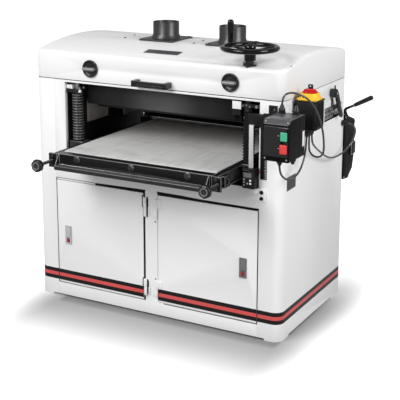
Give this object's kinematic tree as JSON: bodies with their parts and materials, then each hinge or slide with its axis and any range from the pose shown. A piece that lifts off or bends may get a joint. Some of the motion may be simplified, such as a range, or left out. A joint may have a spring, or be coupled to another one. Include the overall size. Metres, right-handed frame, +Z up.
{
  "type": "double drum sander",
  "caption": "Floor-standing double drum sander with a sheet-metal cabinet, tilting hood, screw-lifted conveyor table and twin sanding drums.",
  "frame": {"origin": "on the floor, at the bottom centre of the machine's bounding box measured without the hanging cables", "axes": "+X to the operator's right, -Y towards the operator at the infeed, +Z up"},
  "size_m": [1.1688, 1.012, 1.144],
  "materials": {
    "white_paint": "satin powder coat, off-white",
    "dark_frame": "matt black paint on steel",
    "inner_paint": "grey paint inside the cabinet",
    "black_plastic": "moulded black plastic with a fine texture",
    "gloss_black": "smooth black plastic",
    "black_iron": "cast iron with black enamel",
    "steel": "bare steel",
    "zinc": "zinc plated steel",
    "aluminium": "machined aluminium",
    "motor_grey": "dark grey painted aluminium",
    "cloth": "woven grey abrasive-coated belt cloth",
    "rubber": "black rubber",
    "cable": "black flexible cable sheath",
    "gland": "black nylon",
    "green": "green push button",
    "red": "red plastic",
    "yellow": "yellow plastic",
    "abrasive": "brown abrasive cloth wrapped on the drum"
  },
  "bodies": {
    "cabinet": {"left_side_panel": "white_paint", "right_side_panel": "white_paint", "front_frame": "white_paint", "rear_panel": "white_paint", "inner_frame": "inner_paint", "dust_guards": "dark_frame", "screw_brackets": "white_paint", "lift_chain": "steel", "drum_bearings": "black_iron", "main_motor": "motor_grey", "drive_belt": "rubber", "hinge_pins": "white_paint", "dro_column": "aluminium", "switch_bracket": "dark_frame", "switch_box": "black_plastic", "isolator_housing": "black_plastic", "isolator_bezel": "yellow", "cable_glands": "gland", "box_loop_cord": "cable", "top_loop_cord": "cable", "rear_loop_cord": "cable", "screw_bellows": "rubber"},
    "hood": {"hood_shell": "white_paint", "dust_ports": "dark_frame", "hood_handle": "black_plastic", "handwheel_flange": "black_iron"},
    "left_hood_latch": {"left_hood_latch": "black_plastic"},
    "right_hood_latch": {"right_hood_latch": "black_plastic"},
    "handwheel": {"handwheel": "black_iron"},
    "handwheel_grip": {"handwheel_grip": "gloss_black"},
    "left_door": {"left_door": "white_paint"},
    "right_door": {"right_door": "white_paint"},
    "left_latch_button": {"left_latch_button": "red"},
    "right_latch_button": {"right_latch_button": "red"},
    "table": {"table_bed": "steel", "table_rails": "dark_frame", "front_bar": "dark_frame", "conveyor_belt": "cloth", "lift_nuts": "black_iron", "feed_motor": "motor_grey", "drive_housing": "motor_grey", "dro_head": "black_plastic"},
    "front_roller": {"front_roller": "aluminium"},
    "rear_roller": {"rear_roller": "aluminium"},
    "left_takeup_knob": {"left_takeup_knob": "black_plastic"},
    "right_takeup_knob": {"right_takeup_knob": "black_plastic"},
    "speed_lever": {"speed_lever": "zinc"},
    "front_drum": {"front_drum": "aluminium"},
    "rear_drum": {"rear_drum": "aluminium"},
    "motor_pulley": {"motor_pulley": "black_iron"},
    "screw_front_left": {"screw_front_left": "steel"},
    "screw_front_right": {"screw_front_right": "steel"},
    "screw_rear_left": {"screw_rear_left": "steel"},
    "screw_rear_right": {"screw_rear_right": "steel"},
    "front_pressure_roller": {"front_pressure_roller": "steel"},
    "rear_pressure_roller": {"rear_pressure_roller": "steel"},
    "start_button": {"start_button": "green"},
    "stop_button": {"stop_button": "red"},
    "isolator_knob": {"isolator_knob": "red"},
    "lock_lever": {"lock_lever": "black_plastic"}
  },
  "joints": [
    {"name": "hood_tilt", "type": "hinge", "parent": "cabinet", "child": "hood", "pos_m": [-0.048, 0.358, 0.88], "axis": [-1, 0, 0], "range_deg": [0, 60]},
    {"name": "handwheel_turn", "type": "hinge", "parent": "hood", "child": "handwheel", "pos_m": [0.334, -0.194, 1.052], "axis": [0, 0, 1], "range_deg": [0, 9000]},
    {"name": "table_lift", "type": "slide", "parent": "cabinet", "child": "table", "axis": [0, 0, 1], "range_m": [0, 0.127], "deforming": ["screw_bellows"]},
    {"name": "screw_front_left_turn", "type": "hinge", "parent": "cabinet", "child": "screw_front_left", "pos_m": [-0.394, -0.194, 0.7], "axis": [0, 0, 1], "range_deg": [0, 9000]},
    {"name": "screw_front_right_turn", "type": "hinge", "parent": "cabinet", "child": "screw_front_right", "pos_m": [0.334, -0.194, 0.7], "axis": [0, 0, 1], "range_deg": [0, 9000]},
    {"name": "screw_rear_left_turn", "type": "hinge", "parent": "cabinet", "child": "screw_rear_left", "pos_m": [-0.394, 0.322, 0.7], "axis": [0, 0, 1], "range_deg": [0, 9000]},
    {"name": "screw_rear_right_turn", "type": "hinge", "parent": "cabinet", "child": "screw_rear_right", "pos_m": [0.334, 0.322, 0.7], "axis": [0, 0, 1], "range_deg": [0, 9000]},
    {"name": "grip_spin", "type": "hinge", "parent": "handwheel", "child": "handwheel_grip", "pos_m": [0.247, -0.171, 1.1], "axis": [0, 0, 1], "continuous": true},
    {"name": "left_hood_latch_turn", "type": "hinge", "parent": "hood", "child": "left_hood_latch", "pos_m": [-0.313, -0.222, 0.932], "axis": [0, 1, 0], "range_deg": [0, 90]},
    {"name": "right_hood_latch_turn", "type": "hinge", "parent": "hood", "child": "right_hood_latch", "pos_m": [0.274, -0.222, 0.931], "axis": [0, 1, 0], "range_deg": [0, 90]},
    {"name": "left_door_swing", "type": "hinge", "parent": "cabinet", "child": "left_door", "pos_m": [-0.076, -0.228, 0.27], "axis": [0, 0, 1], "range_deg": [0, 90]},
    {"name": "right_door_swing", "type": "hinge", "parent": "cabinet", "child": "right_door", "pos_m": [-0.029, -0.228, 0.27], "axis": [0, 0, -1], "range_deg": [0, 90]},
    {"name": "left_latch_press", "type": "slide", "parent": "left_door", "child": "left_latch_button", "axis": [0, 1, 0], "range_m": [0, 0.003], "stiffness_N_per_m": 400, "springref_m": -0.002},
    {"name": "right_latch_press", "type": "slide", "parent": "right_door", "child": "right_latch_button", "axis": [0, 1, 0], "range_m": [0, 0.003], "stiffness_N_per_m": 400, "springref_m": -0.002},
    {"name": "front_drum_spin", "type": "hinge", "parent": "cabinet", "child": "front_drum", "pos_m": [-0.022, -0.032, 0.85], "axis": [1, 0, 0], "continuous": true},
    {"name": "rear_drum_spin", "type": "hinge", "parent": "cabinet", "child": "rear_drum", "pos_m": [-0.022, 0.16, 0.85], "axis": [1, 0, 0], "continuous": true},
    {"name": "motor_spin", "type": "hinge", "parent": "cabinet", "child": "motor_pulley", "pos_m": [-0.485, 0.064, 0.15], "axis": [1, 0, 0], "continuous": true},
    {"name": "rear_roller_spin", "type": "hinge", "parent": "table", "child": "rear_roller", "pos_m": [-0.022, 0.468, 0.6125], "axis": [1, 0, 0], "continuous": true},
    {"name": "front_roller_spin", "type": "hinge", "parent": "table", "child": "front_roller", "pos_m": [-0.022, -0.353, 0.6125], "axis": [1, 0, 0], "continuous": true},
    {"name": "left_takeup_turn", "type": "hinge", "parent": "table", "child": "left_takeup_knob", "pos_m": [-0.3655, -0.422, 0.6125], "axis": [0, 1, 0], "range_deg": [-360, 360]},
    {"name": "right_takeup_turn", "type": "hinge", "parent": "table", "child": "right_takeup_knob", "pos_m": [0.3215, -0.422, 0.6125], "axis": [0, 1, 0], "range_deg": [-360, 360]},
    {"name": "speed_lever_swing", "type": "hinge", "parent": "table", "child": "speed_lever", "pos_m": [0.46, 0.418, 0.73], "axis": [0, 0, 1], "range_deg": [-35, 35]},
    {"name": "lock_lever_turn", "type": "hinge", "parent": "cabinet", "child": "lock_lever", "pos_m": [0.479, 0.208, 0.842], "axis": [1, 0, 0], "range_deg": [0, 90]},
    {"name": "start_press", "type": "slide", "parent": "cabinet", "child": "start_button", "axis": [0, 1, 0], "range_m": [0, 0.003], "stiffness_N_per_m": 500, "springref_m": -0.002},
    {"name": "stop_press", "type": "slide", "parent": "cabinet", "child": "stop_button", "axis": [0, 1, 0], "range_m": [0, 0.003], "stiffness_N_per_m": 500, "springref_m": -0.002},
    {"name": "isolator_turn", "type": "hinge", "parent": "cabinet", "child": "isolator_knob", "pos_m": [0.529, -0.118, 0.92], "axis": [0, 0, 1], "range_deg": [0, 90]},
    {"name": "front_pressure_spin", "type": "hinge", "parent": "cabinet", "child": "front_pressure_roller", "pos_m": [-0.022, -0.137, 0.793], "axis": [1, 0, 0], "continuous": true},
    {"name": "rear_pressure_spin", "type": "hinge", "parent": "cabinet", "child": "rear_pressure_roller", "pos_m": [-0.022, 0.265, 0.793], "axis": [1, 0, 0], "continuous": true}
  ],
  "couplings": [
    {"joint": "table_lift", "follows": "handwheel_turn", "m_per_rad": 0.0008085},
    {"joint": "screw_front_left_turn", "follows": "handwheel_turn", "ratio": 1},
    {"joint": "screw_front_right_turn", "follows": "handwheel_turn", "ratio": 1},
    {"joint": "screw_rear_left_turn", "follows": "handwheel_turn", "ratio": 1},
    {"joint": "screw_rear_right_turn", "follows": "handwheel_turn", "ratio": 1},
    {"joint": "rear_drum_spin", "follows": "front_drum_spin", "ratio": 1},
    {"joint": "motor_spin", "follows": "front_drum_spin", "ratio": 1},
    {"joint": "front_roller_spin", "follows": "rear_roller_spin", "ratio": 1}
  ]
}
